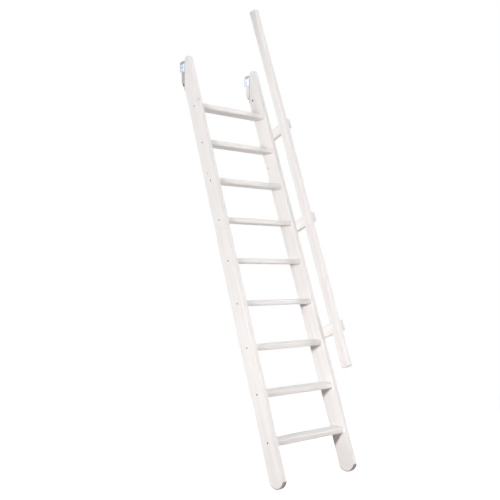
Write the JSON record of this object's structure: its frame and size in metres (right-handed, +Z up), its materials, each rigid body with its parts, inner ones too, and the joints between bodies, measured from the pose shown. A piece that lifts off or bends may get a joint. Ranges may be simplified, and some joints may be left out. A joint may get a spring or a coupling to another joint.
{
  "type": "bunk bed ladder",
  "caption": "Leaning hook-on ladder for a bunk or loft bed: white pine stringers, level treads let into them, a handrail on bracket boards and steel hooks over the bed rail.",
  "frame": {"origin": "midway between the two hooks, where the bed rail's front face meets the level face that the hooks rest with", "axes": "+Z up, +Y towards the bed, +X to the climber's right"},
  "size_m": [0.471, 0.7845, 2.405],
  "materials": {
    "white_lacquered_pine": "satin white lacquer over planed pine",
    "zinc_plated_steel": "bright zinc plating with a bluish tint",
    "dark_screw_steel": "blackened screw steel",
    "grey_rubber": "matt grey rubber"
  },
  "bodies": {
    "root": {"block_bolts": "dark_screw_steel", "block_nuts": "dark_screw_steel", "block_screws": "dark_screw_steel", "bracket_screws": "dark_screw_steel", "handrail": "white_lacquered_pine", "handrail_bracket_lower": "white_lacquered_pine", "handrail_bracket_middle": "white_lacquered_pine", "handrail_bracket_upper": "white_lacquered_pine", "hook_bolts": "dark_screw_steel", "hook_nuts": "dark_screw_steel", "hook_screws": "zinc_plated_steel", "left_foot_sole": "grey_rubber", "left_hook": "zinc_plated_steel", "left_packing_block": "white_lacquered_pine", "left_stringer": "white_lacquered_pine", "right_foot_sole": "grey_rubber", "right_hook": "zinc_plated_steel", "right_packing_block": "white_lacquered_pine", "right_stringer": "white_lacquered_pine", "tread_1": "white_lacquered_pine", "tread_2": "white_lacquered_pine", "tread_3": "white_lacquered_pine", "tread_4": "white_lacquered_pine", "tread_5": "white_lacquered_pine", "tread_6": "white_lacquered_pine", "tread_7": "white_lacquered_pine", "tread_8": "white_lacquered_pine", "tread_9": "white_lacquered_pine", "tread_screws": "dark_screw_steel"}
  },
  "joints": []
}
